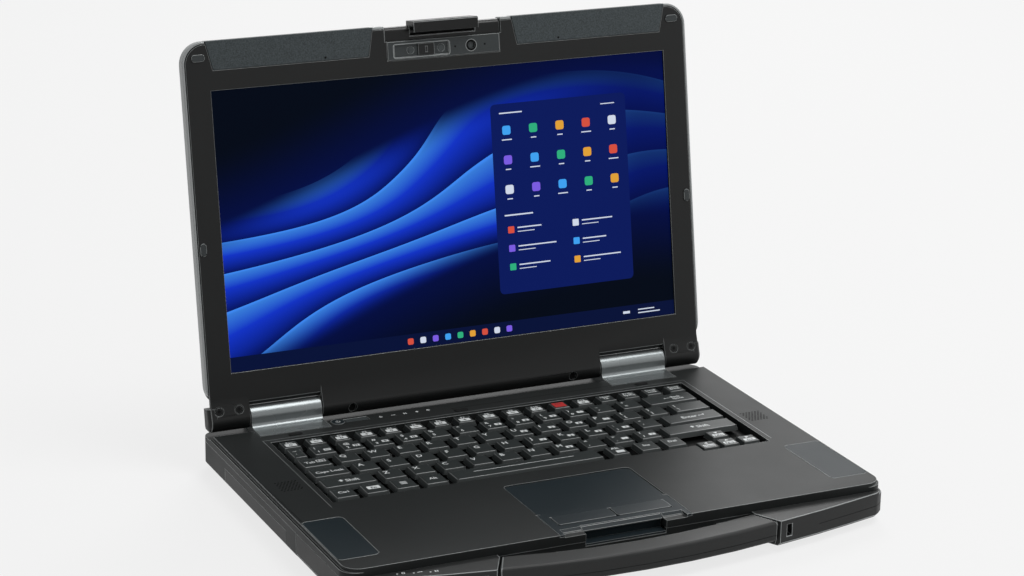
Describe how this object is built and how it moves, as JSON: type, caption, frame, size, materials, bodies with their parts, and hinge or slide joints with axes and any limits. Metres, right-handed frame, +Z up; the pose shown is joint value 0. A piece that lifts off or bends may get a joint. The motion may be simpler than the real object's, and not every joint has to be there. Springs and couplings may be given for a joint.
{
  "type": "laptop computer",
  "caption": "Open semi-rugged laptop with a bowed carrying handle across the front, corner guards, full keyboard, touch pad, camera bar and a hook latch at the lid's top edge.",
  "frame": {"origin": "middle of the footprint of the opened laptop, on the surface that its rubber feet stand on", "axes": "+Z up; +X to the right of a person who sits at the keyboard; +Y from that person towards the hinge"},
  "size_m": [0.345, 0.3026, 0.2646],
  "materials": {
    "case_black": "matte black paint on magnesium",
    "lid_silver": "satin silver paint on magnesium",
    "bezel_black": "fine matte texture",
    "antenna_plastic": "coarse matte texture",
    "key_plastic": "matte, worn smooth",
    "plate_black": "matte",
    "touch_surface": "silky matte",
    "cover_plastic": "matte texture",
    "button_plastic": "satin",
    "cowl_metal": "satin grey metallic paint",
    "guard_plastic": "matte",
    "steel": "brushed",
    "socket_metal": "bright plated",
    "socket_plastic": "matte",
    "hook_black": "satin",
    "rubber": "matte",
    "screen": "smooth",
    "lens": "polished",
    "board": "solder mask",
    "drive_metal": "satin",
    "copper": "copper"
  },
  "bodies": {
    "base": {"bottom_case": "case_black", "top_case": "case_black", "keyboard_plate": "plate_black", "touchpad": "touch_surface", "button_plate": "case_black", "latch_catch": "steel", "hinge_cowl_left": "cowl_metal", "hinge_cowl_right": "cowl_metal", "status_window": "lens", "palm_cover_left": "cover_plastic", "palm_cover_right": "cover_plastic", "mainboard": "board", "heat_sink": "copper", "fan_housing": "socket_plastic", "speakers": "socket_plastic", "ssd_module": "drive_metal", "feet": "rubber", "bottom_screws": "steel", "deck_pads": "rubber", "usb_ports": "socket_metal", "hdmi_port": "socket_metal", "lan_port": "socket_metal", "audio_jack": "socket_plastic", "dc_jack": "socket_plastic", "exhaust_grille": "plate_black", "corner_guard_left": "guard_plastic", "corner_guard_right": "guard_plastic"},
    "lid": {"lid_cover": "lid_silver", "lid_bezel": "bezel_black", "lcd_panel": "screen", "antenna_cover_left": "antenna_plastic", "antenna_cover_right": "antenna_plastic", "camera_bar": "bezel_black", "camera_lenses": "lens", "lid_bumpers": "rubber", "lid_screws": "steel", "hinge_shafts": "steel", "latch_pivot": "steel"},
    "hook": {"latch_hook": "hook_black"},
    "shutter": {"camera_shutter": "hook_black"},
    "handle": {"carry_handle": "guard_plastic", "handle_arms": "steel"},
    "fan": {"fan_rotor": "socket_plastic"},
    "battery": {"battery_pack": "cover_plastic"},
    "battery_slider": {"battery_latch": "plate_black"},
    "expansion": {"bay_module": "cover_plastic"},
    "bay_slider": {"bay_latch": "plate_black"},
    "left_button": {"touch_button_left": "button_plastic"},
    "right_button": {"touch_button_right": "button_plastic"},
    "power": {"power_button": "button_plastic"},
    "function_keys_body": {"function_keys": "key_plastic"},
    "number_row_keys_body": {"number_row_keys": "key_plastic"},
    "tab_row_keys_body": {"tab_row_keys": "key_plastic"},
    "caps_row_keys_body": {"caps_row_keys": "key_plastic"},
    "shift_row_keys_body": {"shift_row_keys": "key_plastic"},
    "bottom_row_keys_body": {"bottom_row_keys": "key_plastic"},
    "space_bar_body": {"space_bar": "key_plastic"},
    "arrow_keys_body": {"arrow_keys": "key_plastic"}
  },
  "joints": [
    {"name": "lid_hinge", "type": "hinge", "parent": "base", "child": "lid", "pos_m": [0, 0.1094, 0.031], "axis": [1, 0, 0], "range_deg": [-80.2, 99.8]},
    {"name": "latch_hook_turn", "type": "hinge", "parent": "lid", "child": "hook", "pos_m": [0, 0.14759, 0.25679], "axis": [1, 0, 0], "range_deg": [-80, 8]},
    {"name": "shutter_slide", "type": "slide", "parent": "lid", "child": "shutter", "axis": [1, 0, 0], "range_m": [-0.0094, 0]},
    {"name": "handle_slide", "type": "slide", "parent": "base", "child": "handle", "axis": [0, -1, 0], "range_m": [0, 0.025]},
    {"name": "fan_spin", "type": "hinge", "parent": "base", "child": "fan", "pos_m": [-0.11, 0.0945, 0.006], "axis": [0, 0, 1], "continuous": true},
    {"name": "battery_slide", "type": "slide", "parent": "base", "child": "battery", "axis": [-1, 0, 0], "range_m": [0, 0.1]},
    {"name": "battery_latch_slide", "type": "slide", "parent": "base", "child": "battery_slider", "axis": [0, 1, 0], "range_m": [0, 0.004]},
    {"name": "module_slide", "type": "slide", "parent": "base", "child": "expansion", "axis": [1, 0, 0], "range_m": [0, 0.08]},
    {"name": "bay_latch_slide", "type": "slide", "parent": "base", "child": "bay_slider", "axis": [0, 1, 0], "range_m": [0, 0.004]},
    {"name": "left_button_press", "type": "slide", "parent": "base", "child": "left_button", "axis": [0, 0, -1], "range_m": [0, 0.0006], "stiffness_N_per_m": 600},
    {"name": "right_button_press", "type": "slide", "parent": "base", "child": "right_button", "axis": [0, 0, -1], "range_m": [0, 0.0006], "stiffness_N_per_m": 600},
    {"name": "power_press", "type": "slide", "parent": "base", "child": "power", "axis": [0, 0, -1], "range_m": [0, 0.0006], "stiffness_N_per_m": 600},
    {"name": "function_press", "type": "slide", "parent": "base", "child": "function_keys_body", "axis": [0, 0, -1], "range_m": [0, 0.0018], "stiffness_N_per_m": 400},
    {"name": "number_row_press", "type": "slide", "parent": "base", "child": "number_row_keys_body", "axis": [0, 0, -1], "range_m": [0, 0.0018], "stiffness_N_per_m": 400},
    {"name": "tab_row_press", "type": "slide", "parent": "base", "child": "tab_row_keys_body", "axis": [0, 0, -1], "range_m": [0, 0.0018], "stiffness_N_per_m": 400},
    {"name": "caps_row_press", "type": "slide", "parent": "base", "child": "caps_row_keys_body", "axis": [0, 0, -1], "range_m": [0, 0.0018], "stiffness_N_per_m": 400},
    {"name": "shift_row_press", "type": "slide", "parent": "base", "child": "shift_row_keys_body", "axis": [0, 0, -1], "range_m": [0, 0.0018], "stiffness_N_per_m": 400},
    {"name": "bottom_row_press", "type": "slide", "parent": "base", "child": "bottom_row_keys_body", "axis": [0, 0, -1], "range_m": [0, 0.0018], "stiffness_N_per_m": 400},
    {"name": "space_bar_press", "type": "slide", "parent": "base", "child": "space_bar_body", "axis": [0, 0, -1], "range_m": [0, 0.0018], "stiffness_N_per_m": 400},
    {"name": "arrow_press", "type": "slide", "parent": "base", "child": "arrow_keys_body", "axis": [0, 0, -1], "range_m": [0, 0.0018], "stiffness_N_per_m": 400}
  ]
}
